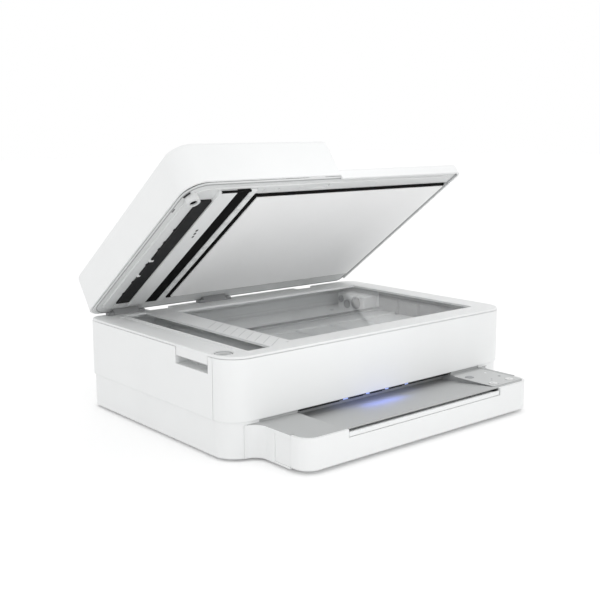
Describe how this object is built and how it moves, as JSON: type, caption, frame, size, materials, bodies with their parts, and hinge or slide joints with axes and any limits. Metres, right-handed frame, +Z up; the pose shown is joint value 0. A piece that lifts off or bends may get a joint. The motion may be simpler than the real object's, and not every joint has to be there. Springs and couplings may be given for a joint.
{
  "type": "inkjet printer with flatbed scanner",
  "caption": "White desktop inkjet printer with an open scanner lid, sheet feeder housing, glass platen, grey output tray and pull-out paper drawer.",
  "frame": {"origin": "middle of the printer footprint on the table, halfway across the case and halfway from the drawer front to the rear panel", "axes": "+X to the right seen from the front, +Y to the rear, +Z up"},
  "size_m": [0.4326, 0.3915, 0.3169],
  "materials": {
    "white_shell": "fine satin",
    "lid_grey": "satin",
    "white_pad": "soft matt",
    "white_strip": "satin",
    "tray_grey": "satin",
    "key_grey": "satin",
    "key_white": "gloss",
    "key_dark": "satin",
    "light": "clear light bar",
    "dark_plastic": "satin",
    "tub_grey": "satin",
    "black_plastic": "satin",
    "colour_tank": "satin",
    "hinge_grey": "satin",
    "sheet_metal": "plated sheet",
    "steel": "polished",
    "rubber": "matt",
    "pulley": "satin",
    "board": "solder mask",
    "glass": "clear"
  },
  "bodies": {
    "base": {"lower_case": "white_shell", "front_fascia": "white_shell", "left_side_panel": "white_shell", "right_side_panel": "white_shell", "rear_panel": "white_shell", "rubber_feet": "rubber", "output_tray": "tray_grey", "control_panel": "tray_grey", "light_guide": "light", "chassis": "sheet_metal", "guide_rods": "steel", "platen": "dark_plastic", "star_wheel_bar": "dark_plastic", "paper_guide": "dark_plastic", "service_station": "dark_plastic", "carriage_belt": "rubber", "carriage_motor": "steel", "main_board": "board", "power_supply": "black_plastic", "power_inlet": "black_plastic", "usb_socket": "steel"},
    "scanner": {"scanner_tub": "tub_grey", "scanner_deck": "white_shell", "scan_glass": "glass", "adf_glass": "glass", "scan_rail": "steel", "hinge_posts": "hinge_grey"},
    "scan_bar": {"scan_head": "dark_plastic"},
    "lid": {"lid_shell": "white_shell", "lid_base": "lid_grey", "document_pad": "white_pad", "feeder_strips": "dark_plastic", "press_plate": "white_strip", "lid_hinges": "hinge_grey"},
    "feeder_cover": {"feeder_cover": "white_shell"},
    "feeder_pick": {"feeder_pick_roller": "rubber"},
    "feeder_feed": {"feeder_feed_roller": "rubber"},
    "guide_front": {"document_guide_front": "lid_grey"},
    "guide_rear": {"document_guide_rear": "lid_grey"},
    "paper_tray": {"tray_front": "white_shell", "tray_box": "lid_grey"},
    "width_left": {"width_guide_left": "lid_grey"},
    "width_right": {"width_guide_right": "lid_grey"},
    "extender": {"tray_extender": "white_shell"},
    "info_key": {"info_button": "key_grey"},
    "resume_key": {"resume_button": "key_white"},
    "cancel_key": {"cancel_button": "key_white"},
    "power_key": {"power_button": "key_dark"},
    "carriage": {"carriage": "dark_plastic", "black_cartridge": "black_plastic", "colour_cartridge": "colour_tank"},
    "black_latch": {"black_latch": "black_plastic"},
    "colour_latch": {"colour_latch": "colour_tank"},
    "drive_pulley": {"drive_pulley": "pulley"},
    "idler_pulley": {"idler_pulley": "pulley"},
    "feed_roller": {"feed_roller": "rubber"},
    "eject_roller": {"eject_roller": "rubber"},
    "pick_arm": {"pick_arm": "dark_plastic"},
    "pick_roller": {"pick_roller": "rubber"}
  },
  "joints": [
    {"name": "scanner_lift", "type": "hinge", "parent": "base", "child": "scanner", "pos_m": [0, 0.176, 0.103], "axis": [-1, 0, 0], "range_deg": [0, 25]},
    {"name": "lid_hinge", "type": "hinge", "parent": "scanner", "child": "lid", "pos_m": [0, 0.174, 0.108], "axis": [-1, 0, 0], "range_deg": [-36.6, 28]},
    {"name": "feeder_cover_hinge", "type": "hinge", "parent": "lid", "child": "feeder_cover", "pos_m": [-0.20275, 0.09911, 0.234], "axis": [0, -0.8028, 0.5962], "range_deg": [0, 70]},
    {"name": "feeder_pick_spin", "type": "hinge", "parent": "lid", "child": "feeder_pick", "pos_m": [-0.04, 0.08191, 0.21127], "axis": [0, 0.8028, -0.5962], "continuous": true},
    {"name": "feeder_feed_spin", "type": "hinge", "parent": "lid", "child": "feeder_feed", "pos_m": [-0.165, 0.08072, 0.20966], "axis": [0, 0.8028, -0.5962], "continuous": true},
    {"name": "document_guide_front_slide", "type": "slide", "parent": "lid", "child": "guide_front", "axis": [0, 0.8028, -0.5962], "range_m": [0, 0.07]},
    {"name": "document_guide_rear_slide", "type": "slide", "parent": "lid", "child": "guide_rear", "axis": [0, 0.8028, -0.5962], "range_m": [-0.07, 0]},
    {"name": "scan_bar_slide", "type": "slide", "parent": "scanner", "child": "scan_bar", "axis": [1, 0, 0], "range_m": [-0.03, 0.283]},
    {"name": "carriage_slide", "type": "slide", "parent": "base", "child": "carriage", "axis": [1, 0, 0], "range_m": [-0.276, 0]},
    {"name": "drive_pulley_spin", "type": "hinge", "parent": "base", "child": "drive_pulley", "pos_m": [0.182, 0.038, 0], "axis": [0, 0, 1], "range_deg": [-2876, 0]},
    {"name": "idler_pulley_spin", "type": "hinge", "parent": "base", "child": "idler_pulley", "pos_m": [-0.182, 0.038, 0], "axis": [0, 0, 1], "range_deg": [-2876, 0]},
    {"name": "black_latch_hinge", "type": "hinge", "parent": "carriage", "child": "black_latch", "pos_m": [0.163, -0.0659, 0.0555], "axis": [1, 0, 0], "range_deg": [0, 20]},
    {"name": "colour_latch_hinge", "type": "hinge", "parent": "carriage", "child": "colour_latch", "pos_m": [0.113, -0.0659, 0.0555], "axis": [1, 0, 0], "range_deg": [0, 20]},
    {"name": "feed_spin", "type": "hinge", "parent": "base", "child": "feed_roller", "pos_m": [0, 0.012, 0.031], "axis": [1, 0, 0], "continuous": true},
    {"name": "eject_spin", "type": "hinge", "parent": "base", "child": "eject_roller", "pos_m": [0, -0.076, 0.031], "axis": [1, 0, 0], "continuous": true},
    {"name": "pick_arm_swing", "type": "hinge", "parent": "base", "child": "pick_arm", "pos_m": [-0.005, 0.06, 0.0305], "axis": [1, 0, 0], "range_deg": [0, 10]},
    {"name": "pick_roller_spin", "type": "hinge", "parent": "pick_arm", "child": "pick_roller", "pos_m": [-0.005, 0.098, 0.017], "axis": [1, 0, 0], "continuous": true},
    {"name": "paper_tray_slide", "type": "slide", "parent": "base", "child": "paper_tray", "axis": [0, -1, 0], "range_m": [0, 0.12]},
    {"name": "width_left_slide", "type": "slide", "parent": "paper_tray", "child": "width_left", "axis": [1, 0, 0], "range_m": [0, 0.055]},
    {"name": "width_right_slide", "type": "slide", "parent": "paper_tray", "child": "width_right", "axis": [1, 0, 0], "range_m": [-0.055, 0]},
    {"name": "extender_slide", "type": "slide", "parent": "base", "child": "extender", "axis": [0, -0.9951, 0.0992], "range_m": [0, 0.055]},
    {"name": "info_press", "type": "slide", "parent": "base", "child": "info_key", "axis": [0, 0, -1], "range_m": [0, 0.0008], "stiffness_N_per_m": 400, "springref_m": -0.0005},
    {"name": "resume_press", "type": "slide", "parent": "base", "child": "resume_key", "axis": [0, 0, -1], "range_m": [0, 0.0008], "stiffness_N_per_m": 400, "springref_m": -0.0005},
    {"name": "cancel_press", "type": "slide", "parent": "base", "child": "cancel_key", "axis": [0, 0, -1], "range_m": [0, 0.0008], "stiffness_N_per_m": 400, "springref_m": -0.0005},
    {"name": "power_press", "type": "slide", "parent": "base", "child": "power_key", "axis": [0, -1, 0], "range_m": [0, 0.001], "stiffness_N_per_m": 400, "springref_m": -0.0005}
  ],
  "couplings": [
    {"joint": "feeder_feed_spin", "follows": "feeder_pick_spin", "ratio": 0.83333},
    {"joint": "document_guide_rear_slide", "follows": "document_guide_front_slide", "ratio": -1},
    {"joint": "drive_pulley_spin", "follows": "carriage_slide", "rad_per_m": 181.82},
    {"joint": "idler_pulley_spin", "follows": "carriage_slide", "rad_per_m": 181.82},
    {"joint": "eject_spin", "follows": "feed_spin", "ratio": 1.2},
    {"joint": "pick_roller_spin", "follows": "feed_spin", "ratio": 0.7},
    {"joint": "width_right_slide", "follows": "width_left_slide", "ratio": -1}
  ]
}
